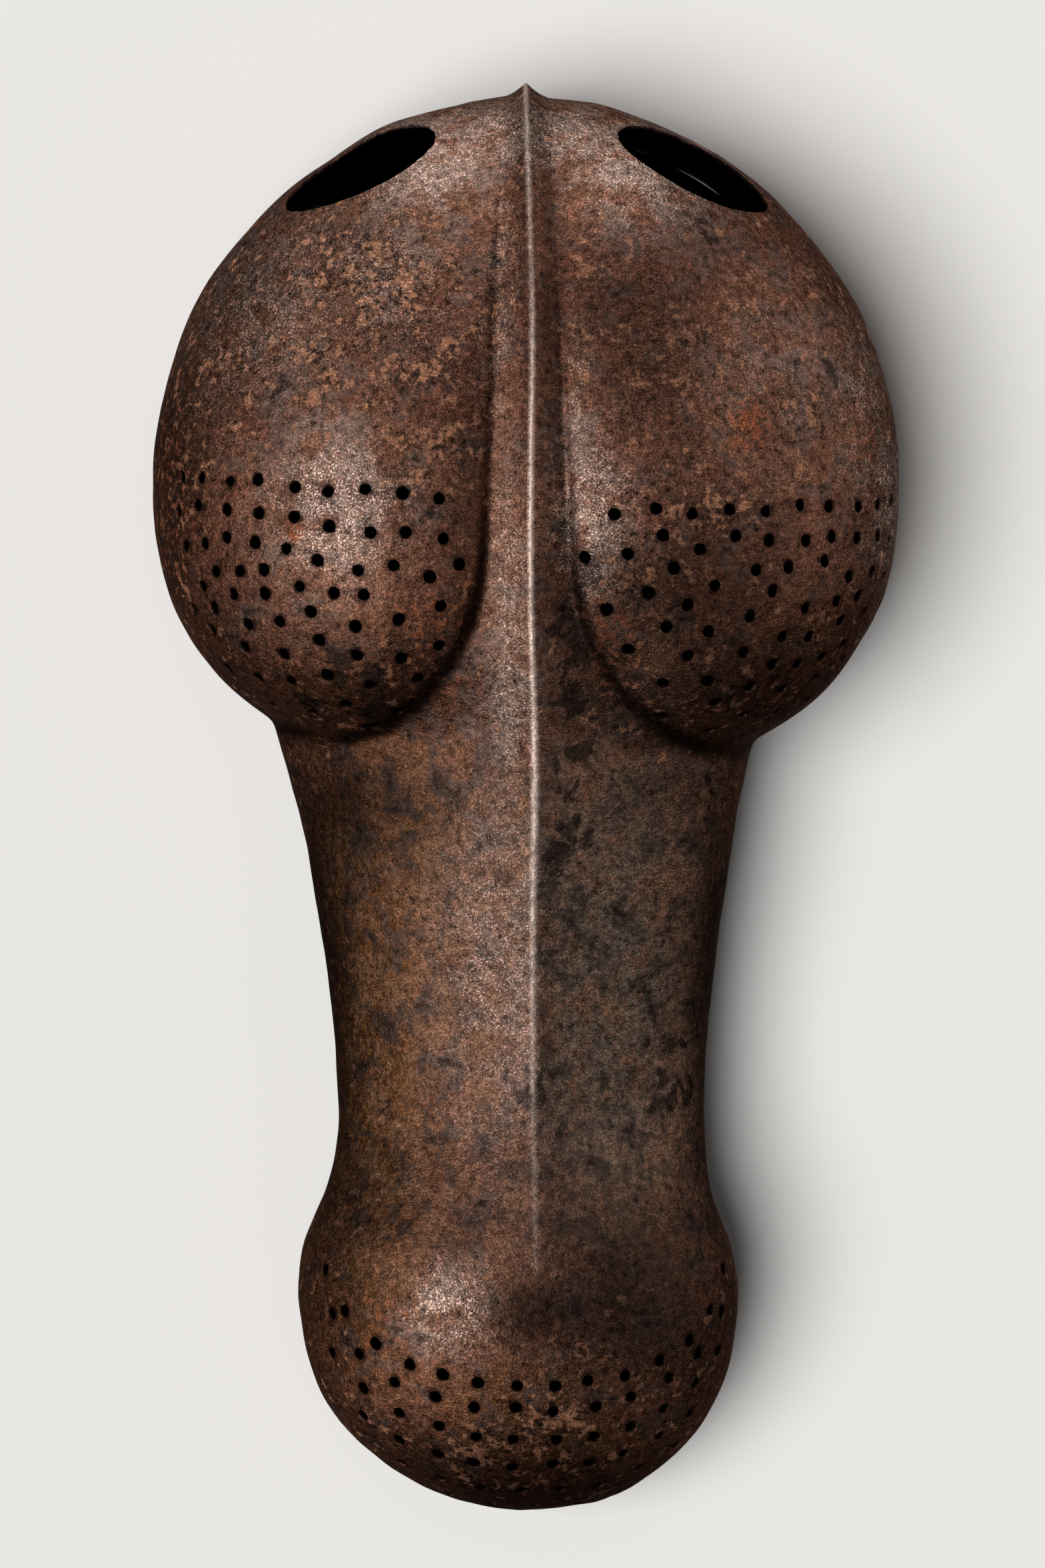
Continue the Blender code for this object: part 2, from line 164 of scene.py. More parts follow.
# Rows of punched breath holes round the nose: the station, how far both ends climb, the places across of the
# left and the right end, and how many holes.
BREATH_ROWS = (
    (-0.2365, 0.030, -0.50, 0.49, 14),
    (-0.2440, 0.028, -0.47, 0.46, 12),
    (-0.2535, 0.024, -0.47, 0.46, 12),
    (-0.2640, 0.022, -0.40, 0.38, 10),
    (-0.2765, 0.020, -0.34, 0.36, 8),
    (-0.2890, 0.016, -0.24, 0.24, 5),
)
BREATH_CLIMB_AT = 0.5
HOLE_SPREAD = 0.10
STRAY_STATION, STRAY_ACROSS = 0.0007, 0.005
SEED = 7
NORMAL_STEP = 0.001

# Hammering: how many wide waves and small dents are laid over each other, and how their lengths vary.
WAVES, DENTS = 26, 40
WAVE_SHARES = (0.7, 1.6)

# The mesh: its ribs stand closer at the domes' lower ends, and its columns at the keel, from where they
# open out to their full gap.
CROWDED_AT, CROWDED_OVER, CROWDED_BY = 0.060, 0.065, 0.45
KEEL_GAP, OPENS_FROM, OPENS_OVER = 0.0008, 0.012, 0.045
# The inner face: how often it and its depth are smoothed, how far a slanting ray may stretch the depth, and
# how it is let down in bends.
INNER_SMOOTHED, DEPTH_SMOOTHED, BEND_SMOOTHED = 4, 2, 6
LEAST_SLANT, BEND_LET_DOWN = 0.35, 1.5
RIM_STATIONS, RIM_PLACES = 90, 60
SHARP_FROM = math.radians(60)

# A punch from its tip to its shoulder: how far above the plate's face, and how much wider than the hole.
PUNCH_RINGS = ((-0.0060, 0.0), (-0.0010, 0.0), (-0.0004, 0.00012), (-0.00005, 0.00042), (0.0012, 0.0011))
PUNCH_SIDES = 14
HOLE_WAVER, EAR_WAVER = 0.07, 0.01
WAVER_LOBES, WAVER_SHIFT = (2, 3, 5), 6

# ------------ stains, painted shade and painted highlights
# Each oval is a stain, a patch of painted shade or a patch of painted highlight on the front, listed by its
# kind: its middle, half width and half length in millimetres, its strength and its turn in degrees.
Oval = namedtuple("Oval", "x y wide long strength turn", defaults=(0,))
STAINS_AND_PAINTED_LIGHT = {
    "scale": (
        (-62, 222, 28, 30, 1.0), (-82, 190, 26, 16, 0.8, 20), (-53, 207, 20, 26, 0.8),
        (-48, 176, 16, 26, 0.9, -20), (-120, 184, 18, 16, 0.45), (-148, 150, 12, 36, 0.35),
        (-40, 152, 16, 16, 0.8), (26, 226, 10, 36, 0.45), (76, 193, 22, 14, 0.7, -20),
        (101, 200, 14, 14, 0.35), (116, 165, 16, 18, 0.7), (80, 124, 18, 16, 0.8), (43, 95, 22, 26, 0.7),
        (10, -272, 18, 18, 1.0), (-18, -286, 16, 12, 0.8), (24, -240, 10, 8, 0.8),
    ),
    "skin": (
        (-85, 160, 36, 16, 1.0), (-45, 278, 40, 34, 1.0), (48, 282, 40, 30, 1.0), (-124, 253, 30, 30, 0.5),
        (80, 246, 40, 30, 0.8), (112, 186, 30, 34, 0.4), (24, 130, 10, 40, 0.8), (-34, 32, 30, 28, 0.9),
        (-16, -30, 14, 50, 0.4), (10, 0, 8, 60, 0.6),
    ),
    # Partly rubbed wear, partly painted highlight: pale ovals where the highlights fall on the domes, the
    # nose, beside the ears and along the neck.
    "rubbed": (
        (-82, 126, 22, 28, 1.0), (27, 121, 13, 30, 1.0), (22, 168, 6, 26, 0.6), (-115, 215, 36, 44, 0.45),
        (4, 290, 60, 15, 0.85), (-47, 281, 28, 22, 1.0), (52, 274, 28, 22, 1.0), (-64, 225, 28, 26, 0.45),
        (-8, 90, 8, 44, 0.55), (-6, 40, 10, 40, 0.7), (-14, -70, 22, 70, 0.6), (-33, -222, 16, 16, 1.0),
        (148, 174, 14, 34, 0.5), (104, 182, 30, 34, 0.3), (160, 130, 10, 30, 0.8), (-12, 220, 6, 60, 0.4),
    ),
    "gold": (
        (-72, -100, 26, 100, 1.0, 3), (-52, -10, 26, 40, 0.7), (-70, -215, 24, 40, 0.8),
        (5, -275, 34, 22, 0.8),
    ),
    "olive": ((36, -85, 30, 100, 1.0),),
    "rust": (
        (95, 161, 9, 13, 0.9), (147, 161, 8, 22, 0.5), (-100, 116, 4, 6, 1.0), (-156, 140, 16, 60, 0.5),
        (-40, 75, 22, 26, 0.5), (36, 66, 14, 22, 0.7), (-64, -229, 12, 12, 0.5),
    ),
    "soot": (
        (-85, 52, 30, 14, 0.5), (20, 70, 8, 50, 0.6), (22, 13, 10, 30, 0.45), (14, -15, 5, 30, 0.5),
        (6, -131, 6, 8, 0.5), (63, -113, 10, 12, 0.5), (70, -131, 8, 10, 0.4),
    ),
    # Painted shade: dark ovals under the domes, round the nose, along the neck's edges and beside the keel.
    "grime": (
        (-85, 42, 60, 24, 0.55), (92, 48, 60, 38, 0.68), (62, 86, 50, 26, 0.7), (-85, 5, 40, 20, 0.5),
        (10, -318, 90, 36, 0.85), (48, -217, 46, 44, 0.85), (-26, 130, 10, 50, 0.48),
        (6, -224, 26, 18, 0.95), (-12, 18, 22, 20, 0.4), (-92, -90, 12, 90, 0.9, 2),
        (86, -90, 12, 90, 0.9, -2), (-74, 0, 40, 26, 0.7), (-162, 160, 12, 70, 0.4), (11, 200, 7, 70, 0.7),
        (10, 105, 8, 40, 0.42), (38, 68, 16, 20, 0.65), (66, 6, 30, 16, 0.4), (-80, -222, 18, 28, 0.48),
        (50, 200, 32, 46, 0.55), (14, -185, 12, 30, 0.5), (10, -60, 5, 110, 0.3),
    ),
}
OVAL_FALLOFF = 0.7

# How far the keel's crest is worn bright along it.
CREST_WEAR = (
    ("y", "wear"),
    (-0.215, 0.00), (-0.195, 0.15), (-0.130, 0.25), (-0.090, 0.50), (-0.030, 0.85),
    (0.020, 1.00), (0.130, 1.00), (0.190, 0.75), (0.230, 0.50), (0.280, 1.00),
)

# The crest's half width, which widens towards the nose.
CREST_HALF_WIDTH, CREST_WIDENS, CREST_WIDENS_FROM, CREST_WIDENS_OVER = 0.0009, 0.0004, 0.08, 0.06
# The painted shade in the crease round each dome: on the channel's side its place and width as shares of the
# dome, on the outer side its width where head and neck meet, and where it ends.
CREASE_AT, CREASE_WIDTH, CREASE_TURNS_OVER = 0.99, 0.045, 0.03
MEETING_WIDTH, MEETING_TO = 0.09, 0.09
CREASE_TO, CREASE_FADES_OVER, CREASE_OVER_FLOOR = 0.150, 0.060, 0.004
# Where the neck's own finish runs, how high the painted shade of the rim reaches and how wide the darkening
# round a hole is.
NECK_FINISH_FROM, NECK_FINISH_TO, NECK_FADES = -0.215, 0.03, 0.03
DARK_RIM, DARK_RIM_POWER = 0.075, 1.5
HOLE_DARKENING_WIDTH = 0.0036


# ------------ the surface
def part_way(distance, over):
    """0 up to no distance, 1 from over onwards and in proportion between."""
    return np.clip(distance / over, 0, 1)


def column(table, name, at):
    """A column of a table, read at the places in at along its first column by a smooth curve."""
    rows = np.array(table[1:], float)
    xs, ys = rows[:, 0], rows[:, table[0].index(name)]
    slopes = np.gradient(ys, xs)
    at = np.clip(at, xs[0], xs[-1])
    i = np.clip(np.searchsorted(xs, at) - 1, 0, len(xs) - 2)
    h = xs[i + 1] - xs[i]
    t = (at - xs[i]) / h
    return (
        (1 + 2 * t) * (1 - t) ** 2 * ys[i]
        + t * (1 - t) ** 2 * h * slopes[i]
        + t**2 * (3 - 2 * t) * ys[i + 1]
        + t**2 * (t - 1) * h * slopes[i + 1]
    )


def above_and_below(z, waist, rise):
    """The height over a waist as a share of the rise there, and how far the tuck under it draws in."""
    up = np.maximum(z - waist, 0) / rise
    down = np.maximum(waist - z, 0) / waist
    return up, 1 - TUCK * down**2


def head_value(x, y, z):
    """Below zero inside the head bulge."""
    dx, dy = x - HEAD["x"], y - HEAD["y"]
    across = np.abs(dx) / np.where(dx < 0, HEAD["left"], HEAD["right"])
    nose = HEAD["nose"] + HEAD["nose_skew"] * np.clip(dx / HEAD["skew_over"], -1, 1)
    along = np.abs(dy) / np.where(dy < 0, nose, HEAD["poll"])
    power = np.where(dy < 0, HEAD["nose_power"], HEAD["poll_power"])
    plan = (across**power + along**power) ** (1 / power)
    up, drawn = above_and_below(z, HEAD_WAIST, HEAD_RISE)
    towards_nose = np.where(dy < 0, along / np.maximum(plan, TINY), 0)
    section = HEAD["section_power"] + HEAD["nose_section"] * towards_nose**2
    return (plan / drawn) ** section + up**section - 1


def face_value(x, y, z):
    """Below zero inside the neck and nose, whose sections follow their table and close round at the nose."""
    left, right, front, fold = (column(FACE, name, y) for name in FACE[0][1:])
    past_nose = np.maximum(FACE[1][0] - y, 0) / NOSE_LENGTH
    middle = column(KEEL, "x", y) - NOSE_DRIFT * past_nose
    across = np.abs(x - middle) / np.where(x < middle, left + middle, right - middle)
    plan = (across**NOSE_POWER + past_nose**NOSE_POWER) ** (1 / NOSE_POWER)
    up, drawn = above_and_below(z, FACE_WAIST, front - FACE_WAIST)
    past_neck = np.maximum(y - NECK_TO, 0) / NECK_CLOSES_OVER
    return (plan / drawn) ** fold + up**FACE_ROUND + past_neck**2 - 1


def radius_of(value, origin, direction):
    """How far each ray from inside a shape runs before it leaves it, or 0 where it starts outside."""
    low = np.zeros(origin.shape[1:])
    high = np.full_like(low, REACH)
    for _ in range(HALVINGS):
        middle = (low + high) / 2
        inside = value(*(origin + middle * direction)) < 0
        low, high = np.where(inside, middle, low), np.where(inside, high, middle)
    return low


def smooth_max(a, b, blend):
    near = np.maximum(blend - np.abs(a - b), 0) / blend
    return np.maximum(a, b) + near**2 * blend / 4


def dome_edge(dome, x, y):
    """0 at the middle of an eye dome, 1 on its outline."""
    inner = dome.inner + dome.widens * part_way(y - dome.y, WIDENS_OVER)
    down = np.maximum(dome.y - y, 0) / dome.lower
    out = dome.side * (x - dome.x)
    towards = np.where(out < 0, -out / inner, out / dome.outer * np.minimum(down, 1))
    return np.sqrt(towards**2 + down**2)


def dome_share(x, y):
    """1 well inside an eye dome, 0 outside both, falling steeply at their outlines."""
    share = np.zeros_like(x)
    for dome in DOMES:
        edge = np.minimum(dome_edge(dome, x, y), 1)
        outwards = np.clip(1 + dome.side * (x - dome.x) / FULLER_OVER, 0, 1)
        fullness = INNER_FULLNESS + (OUTER_FULLNESS - INNER_FULLNESS) * outwards
        share = np.maximum(share, (1 - edge**fullness) ** (1 / DOME_STEEPNESS))
    return share


def rays(stations, across):
    """Origins on the spine and directions, for stations of the spine and places across, from -1 to 1."""
    over = np.clip(stations - SPINE_POLL, 0, None) / POLL_ARC
    under = np.clip(SPINE_NOSE - stations, 0, None) / NOSE_ARC
    y = np.clip(stations, SPINE_NOSE, SPINE_POLL)
    y = y + over * (POLL_END - SPINE_POLL) + under * (NOSE_END - SPINE_NOSE)
    x = column(KEEL, "x", stations)
    q = over - under
    aside, ahead = across * np.sqrt(1 - q**2 / 2), q * np.sqrt(1 - across**2 / 2)
    out = np.hypot(aside, ahead)
    lean = out * (math.pi / 2 + BELOW_FLOOR)
    flat = np.sin(lean) / np.maximum(out, TINY)
    origin = np.array(np.broadcast_arrays(x, y, 0 * y, out)[:3])
    return origin, np.array([aside * flat, ahead * flat, np.cos(lean)])


def hammering(stations, across, sizes):
    """How far hand hammering leaves the face high or low: waves of several lengths in all directions."""
    random = np.random.default_rng(SEED)
    along, aside = stations + 0 * across, across * HALF_ARC + 0 * stations
    height = np.zeros_like(along)
    for wave, depth, count in ((sizes.wave, sizes.wave_depth, WAVES), (sizes.dent, sizes.dent_depth, DENTS)):
        for _ in range(count):
            turn, shift = random.uniform(0, 2 * math.pi, 2)
            pitch = 2 * math.pi / (wave * random.uniform(*WAVE_SHARES))
            height += depth / math.sqrt(count / 2) * np.sin(
                pitch * (along * math.cos(turn) + aside * math.sin(turn)) + shift
            )
    return height


def body_radius(stations, across):
    """Rays and how far the plate's face lies along them, without the keel."""
    origin, direction = rays(stations, across)
    head = radius_of(head_value, origin, direction)
    face = radius_of(face_value, origin, direction)
    channel = column(KEEL, "channel", stations)
    base = smooth_max(face, np.maximum(head - channel, 0), BLEND)
    full = np.maximum(head, base)
    low, high = base.copy(), full.copy()
    for _ in range(HALVINGS):
        middle = (low + high) / 2
        x, y, _z = origin + middle * direction
        outside = middle > base + (full - base) * dome_share(x, y)
        low, high = np.where(outside, low, middle), np.where(outside, middle, high)
    return origin, direction, (low + high) / 2


def with_keel(stations, direction, radius):
    """The keel raised on the face."""
    height, spread = (column(KEEL, name, stations) for name in ("height", "spread"))
    aside = np.abs(radius * direction[0])
    return radius + height * np.exp(-((aside / spread) ** KEEL_SHARPNESS))


def outer_face(stations, across, sizes):
    """Points of the outer face: x, y and z, each shaped as stations and across are together."""
    origin, direction, radius = body_radius(stations, across)
    radius = with_keel(stations, direction, radius) + hammering(stations, across, sizes)
    return origin + radius * direction


def face_normals(stations, across, sizes):
    """The outer face's normals, from small steps along it."""
    step = NORMAL_STEP
    along = outer_face(stations + step, across, sizes) - outer_face(stations - step, across, sizes)
    aside = outer_face(stations, across + step, sizes) - outer_face(stations, across - step, sizes)
    normals = np.cross(aside, along, axis=0)
    return normals / np.linalg.norm(normals, axis=0)


def softened(field, passes):
    """A grid's values, each drawn towards its neighbours' several times."""
    for _ in range(2 * passes):  # rows and columns in turn
        padded = np.pad(field, ((1, 1), (0, 0)), mode="edge")
        field = ((padded[:-2] + 2 * field + padded[2:]) / 4).T
    return field


def graded(start, end, spacing):
    """An odd number of places from start to end, whose gaps follow spacing(place)."""
    places = [start]
    while places[-1] < end:
        places.append(places[-1] + spacing(places[-1]))
    count = len(places) | 1
    even = np.interp(np.linspace(0, 1, count), np.linspace(0, 1, len(places)), places)
    return start + (even - start) * (end - start) / (even[-1] - start)


def grid_places(sizes):
    """Stations of the ribs and places across, close together at the keel and at the domes' lower ends."""
    def rib_gap(station):
        near = math.exp(-(((station - CROWDED_AT) / CROWDED_OVER) ** 2))
        return sizes.rib_gap * (1 - CROWDED_BY * near)

    def column_gap(place):
        opened = part_way(place * HALF_ARC - OPENS_FROM, OPENS_OVER)
        return (KEEL_GAP + (sizes.column_gap - KEEL_GAP) * opened) / HALF_ARC

    stations = graded(SPINE_NOSE - NOSE_ARC, SPINE_POLL + POLL_ARC, rib_gap)
    half = graded(0.0, 1.0, column_gap)
    return stations[:, None], np.concatenate([-half[:0:-1], half])[None, :]


# ------------ meshes
def grid_faces(numbers, flip):
    """Quads over a grid of vertex numbers."""
    quads = [numbers[:-1, :-1], numbers[:-1, 1:], numbers[1:, 1:], numbers[1:, :-1]]
    if flip:
        quads.reverse()
    return np.stack(quads, axis=-1).reshape(-1, 4).tolist()


def border(numbers):
    """The numbers round a grid, counter-clockwise from its first corner."""
    return np.concatenate([numbers[0, :-1], numbers[:-1, -1], numbers[-1, :0:-1], numbers[:0:-1, 0]])


def plate_body(settings):
    """The plate before any cut: its outer face, an inner face with half the ribs and columns, and the edge.

    The inner face lies on the same rays, so the two never cross. It is let down where a bend would bring a
    long inner facet out through the outer face.
    """
    stations, across = grid_places(settings)
    origin, direction, radius = body_radius(stations, across)
    radius = softened(radius, settings.crease_softness) + hammering(stations, across, settings)
    outer = origin + with_keel(stations, direction, radius) * direction
    normals = np.cross(np.gradient(outer, axis=2), np.gradient(outer, axis=1), axis=0)
    normals = normals / np.linalg.norm(normals, axis=0)
    slant = np.clip(np.abs((normals * direction).sum(0)), LEAST_SLANT, 1)
    keel_inside = softened(with_keel(stations, direction, radius), INNER_SMOOTHED)
    depth = softened(settings.thickness / slant, DEPTH_SMOOTHED)
    wide = softened(keel_inside, BEND_SMOOTHED)
    inner_radius = keel_inside - depth - BEND_LET_DOWN * np.maximum(wide - keel_inside, 0)
    inner = (origin + inner_radius * direction)[:, ::2, ::2]

    points = np.concatenate([outer.reshape(3, -1).T, inner.reshape(3, -1).T])
    outside = np.arange(outer[0].size).reshape(outer[0].shape)
    inside = outside.size + np.arange(inner[0].size).reshape(inner[0].shape)
    faces = grid_faces(outside, False) + grid_faces(inside, True)
    outside, inside = border(outside), border(inside)
    for i, corner in enumerate(inside):
        after = inside[(i + 1) % len(inside)]
        a, b, c = (outside[(2 * i + step) % len(outside)] for step in (0, 1, 2))
        faces += [(b, a, corner), (b, corner, after), (c, b, after)]
    return points, faces


def rim_outline(share):
    """Points round the plate's foot, at this share of the way out from the spine."""
    run = np.linspace(SPINE_NOSE - NOSE_ARC, SPINE_POLL + POLL_ARC, RIM_STATIONS)
    over = np.linspace(-1, 1, RIM_PLACES)
    stations = np.concatenate([run, run[-1] + 0 * over, run[::-1], run[0] + 0 * over])
    across = np.concatenate([-1 + 0 * run, over, 1 + 0 * run, over[::-1]])
    origin, direction, radius = body_radius(stations, across)
    return (origin + share * radius * direction)[:2].T


def add_object(name, points, faces):
    mesh = bpy.data.meshes.new(name)
    mesh.from_pydata(points, [], faces)
    mesh.validate()
    obj = bpy.data.objects.new(name, mesh)
    bpy.context.scene.collection.objects.link(obj)
    return obj


def close_bar(faces, first, rings, sides):
    """Adds the sides and both ends of a bar whose rings of vertices start at first."""
    for low in range(first, first + (rings - 1) * sides, sides):
        for i in range(sides):
            j = (i + 1) % sides
            faces.append((low + i, low + j, low + sides + j, low + sides + i))
    faces.append(tuple(first + i for i in reversed(range(sides))))
    faces.append(tuple(first + (rings - 1) * sides + i for i in range(sides)))


def bar(points, faces, centre, axis, rings, roll=0.0):
    """Adds a closed bar: rings are (distance along the axis, half sizes level and upright, at each side)."""
    axis = Vector(axis).normalized()
    level = Vector((0, 0, 1)).cross(axis).normalized()
    upright = axis.cross(level)
    rolled = level * math.cos(roll) + upright * math.sin(roll)
    level, upright = rolled, upright * math.cos(roll) - level * math.sin(roll)
    first = len(points)
    for distance, wide, high in rings:
        angles = np.linspace(0, 2 * math.pi, len(wide), endpoint=False)
        for angle, a, b in zip(angles, wide, high):
            aside, up = level * a * math.cos(angle), upright * b * math.sin(angle)
            points.append(Vector(centre) + axis * distance + aside + up)
    close_bar(faces, first, len(rings), len(rings[0][1]))


def hole_places():
    """Stations and places across of every punched hole, each strayed a little as by hand."""
    upright = math.degrees(math.pi / 2 + BELOW_FLOOR)
    stations, across = [], []
    for side, rows in SIGHT_ROWS.items():
        for inner, outer, ys in rows:
            stations.append(np.array(ys) / MM)
            across.append(side * np.linspace(inner, outer, len(ys)) / upright)
    for station, climb, left, right, count in BREATH_ROWS:
        places = np.linspace(left, right, count)
        stations.append(station + climb * np.abs(places / BREATH_CLIMB_AT) ** 3)
        across.append(places)
    stations, across = np.concatenate(stations), np.concatenate(across)
    random = np.random.default_rng(SEED)
    stations = stations + STRAY_STATION * random.uniform(-1, 1, len(stations))
    across = across + STRAY_ACROSS * random.uniform(-1, 1, len(across))
    spread = 1 + HOLE_SPREAD * random.uniform(-1, 1, len(across))
    return stations, across, spread


def wavering(random, sides, depth):
    """Factors round an outline, smooth and near 1, as a hand-cut edge wavers."""
    angles = np.linspace(0, 2 * math.pi, sides, endpoint=False)
    factors = np.ones(sides)
    for lobes in WAVER_LOBES:
        height = depth / math.sqrt(lobes) * random.uniform(-1, 1)
        factors += height * np.sin(lobes * angles + random.uniform(0, WAVER_SHIFT))
    return factors


def cutter(settings):
    """Everything that is cut from the plate: the punched holes, the ear holes and the trim with its arch."""
    points, faces = [], []
    stations, across, spread = hole_places()
    centres, normals = outer_face(stations, across, settings), face_normals(stations, across, settings)
    random = np.random.default_rng(SEED + 1)
    for centre, normal, factor in zip(centres.T, normals.T, spread):
        outline = settings.hole_radius * factor * wavering(random, PUNCH_SIDES, HOLE_WAVER)
        rings = [(distance, outline + wider, outline + wider) for distance, wider in PUNCH_RINGS]
        bar(points, faces, centre, normal, rings)
    for side in (-1, 1):
        outline = wavering(random, EAR_SIDES, EAR_WAVER) + EAR_RAGGED * random.uniform(-1, 1, EAR_SIDES)
        outline = (outline + np.roll(outline, 1)) / 2
        rings = [(end * EAR_BAR / 2, EAR_HALF_LENGTH * outline, EAR_HALF_HEIGHT * outline) for end in (-1, 1)]
        centre, axis = ((side * place[0], *place[1:]) for place in (EAR_CENTRE, EAR_AXIS))
        bar(points, faces, centre, axis, rings, side * EAR_ROLL)
    radius = (ARCH_HALF_SPAN**2 + ARCH_RISE**2) / (2 * ARCH_RISE)
    ys = ARCH_MIDDLE + np.linspace(-1, 1, ARCH_SIDES) * ARCH_HALF_SPAN
    zs = np.sqrt(radius**2 - (ys - ARCH_MIDDLE) ** 2) - radius + ARCH_RISE
    reach = TRIM_HALF_LENGTH
    profile = [(-reach, -TRIM_DEPTH), (reach, -TRIM_DEPTH), (reach, 0.0)]
    profile += [(float(y), float(max(z, 0))) for y, z in zip(ys[::-1], zs[::-1])]
    profile += [(-reach, 0.0)]
    close_bar(faces, len(points), 2, len(profile))
    for x in (-TRIM_HALF_WIDTH, TRIM_HALF_WIDTH):
        points += [Vector((x, y, z)) for y, z in profile]
    return points, faces, centres.T


def apply_modifiers(obj):
    """Makes the object's modifiers part of its mesh."""
    depsgraph = bpy.context.evaluated_depsgraph_get()
    mesh = bpy.data.meshes.new_from_object(obj.evaluated_get(depsgraph))
    obj.modifiers.clear()
    old, obj.data = obj.data, mesh
    bpy.data.meshes.remove(old)
    mesh.name = obj.name


# ------------ marks that the iron's colours follow
def oval_strength(rows, x, y):
    """The strongest of some ovals at each place of the front."""
    total = np.zeros_like(x)
    for oval in (Oval(*row) for row in rows):
        turn = math.radians(oval.turn)
        dx, dy = x - oval.x / MM, y - oval.y / MM
        a = (dx * math.cos(turn) + dy * math.sin(turn)) / (oval.wide / MM)
        b = (dy * math.cos(turn) - dx * math.sin(turn)) / (oval.long / MM)
        total = np.maximum(total, oval.strength * np.exp(-OVAL_FALLOFF * (a**2 + b**2)))
    return total


def marks(points, normals, hole_centres):
    """How strongly each finish shows at points with these normals, by name."""
    x, y, z = points.T
    made = {kind: oval_strength(rows, x, y) for kind, rows in STAINS_AND_PAINTED_LIGHT.items()}
    middle = column(KEEL, "x", y)
    crest = CREST_HALF_WIDTH + CREST_WIDENS * part_way(CREST_WIDENS_FROM - y, CREST_WIDENS_OVER)
    wear = column(CREST_WEAR, "wear", y)
    made["crest"] = np.exp(-(((x - middle) / crest) ** 2)) * wear
    # Painted shade in the crease round each dome: on the channel's side along its outline, on the outer side
    # where head and neck meet.
    apart = np.maximum(np.maximum(head_value(x, y, z), face_value(x, y, z)), 0)
    meeting = np.exp(-((apart / MEETING_WIDTH) ** 2)) * (y < MEETING_TO)
    crease = np.zeros_like(x)
    for dome in DOMES:
        outwards = np.clip(0.5 + dome.side * (x - dome.x) / CREASE_TURNS_OVER, 0, 1)
        channel_side = np.exp(-(((dome_edge(dome, x, y) - CREASE_AT) / CREASE_WIDTH) ** 2)) * (1 - outwards)
        crease = np.maximum(crease, np.maximum(channel_side, meeting * outwards))
    made["crease"] = crease * part_way(CREASE_TO - y, CREASE_FADES_OVER) * (z > CREASE_OVER_FLOOR)
    above, below = part_way(y - NECK_FINISH_FROM, NECK_FADES), part_way(NECK_FINISH_TO - y, NECK_FADES)
    made["neck"] = below * above
    # Painted shade: the iron darker towards the floor.
    made["rim"] = np.clip(1 - z / DARK_RIM, 0, 1) ** DARK_RIM_POWER
    # Darkening round each punched hole.
    near = np.full(len(x), 1.0)
    for centre in hole_centres:
        near = np.minimum(near, ((points - centre) ** 2).sum(1))
    made["hole"] = np.exp(-near / HOLE_DARKENING_WIDTH**2)
    # Painted shade: the inner face of the hollow, darkened almost black.
    spine = np.stack([0 * y, np.clip(y, NOSE_END, POLL_END), 0 * y], axis=1)
    made["inside"] = (((points - spine) * normals).sum(1) < 0).astype(float)
    return made


def add_marks(mesh, made):
    """Keeps each mark's strength with the mesh, where the iron's nodes read it by name."""
    for name, values in made.items():
        layer = mesh.attributes.new(name, "FLOAT", "POINT")
        layer.data.foreach_set("value", values.astype(np.float32))


# ------------ the iron
# Noise that the finishes follow: the size of its lumps, and how each is broken up, warped and stretched.
Field = namedtuple("Field", "size detail roughness warp stretch", defaults=(4.0, 0.55, 0.0, None))
CLOUDS = Field(0.045, 5.0, 0.60)
PATCHES = Field(0.014, 6.0, 0.60, 0.3)
LACE = Field(0.0092, 6.0, 0.64, 0.3)
STREAKS = Field(0.010, 5.0, 0.65, 0.0, (1.0, 0.45, 0.8))
DRIPS = Field(0.0085, 6.0, 0.62, 0.2, (1.0, 0.65, 1.0))
FLECKS = Field(0.0036, 4.0, 0.65)
GLINTS = Field(0.0007, 1.0, 0.50)
DUSTY_AREAS = Field(0.011, 1.0)
DUST_CELL = 0.004
GRAIN = (2.0, 0.7)  # its size is a setting

# Where each finish starts and is full on the value it follows, and how strong it is at both ends.
Edge = namedtuple("Edge", "start full weak strong", defaults=(0.0, 1.0))
EDGES = {
    "dark_clouds": (0.38, 0.62),
    "red_streaks": (0.42, 0.62, 0.0, 0.60),
    "gold": (0.30, 0.62, 0.35, 1.0),
    "olive": (0.36, 0.50, 0.20, 1.0),
    "cream": (0.50, 0.42, 0.0, 0.28),
    "smooth": (0.545, 0.60),
    "rubbed": (0.38, 0.52, 0.25, 1.0),
    "blotches": (0.55, 0.60, 0.0, 0.70),
    "flake_edge_shadow": (0.53, 0.60),
    "flakes": (0.605, 0.665),
    "flakes_on_neck": (0.0, 1.0, 1.0, 0.50),
    "flakes_in_streaks": (0.38, 0.60, 0.95, 0.55),
    "rust": (0.66, 0.78, 0.0, 0.80),
    "soot": (0.64, 0.68, 0.0, 0.75),
    "pits": (0.38, 0.31, 0.0, 0.75),
    "worn": (0.34, 0.46, 0.70, 1.0),
    "glints": (0.54, 0.70),
    "glints_where_rubbed": (0.0, 1.0, 0.03, 0.70),
    "glints_on_smooth": (0.0, 1.0, 1.0, 0.80),
    "coarse_grain": (0.36, 0.64, 0.42, 1.58),
    "fine_grain": (0.36, 0.64, 0.72, 1.28),
    "fleck_shade": (0.36, 0.64, 0.62, 1.38),
    "dust": (0.07, 0.05),
    "dusty_areas": (0.62, 0.66),
    "crust": (0.66, 0.80),
    "crust_metal": (0.0, 1.0, 0.90, 0.50),
}
DULL_FROM, DULL_FULL, DULLEST = 0.3, 0.9, 0.65

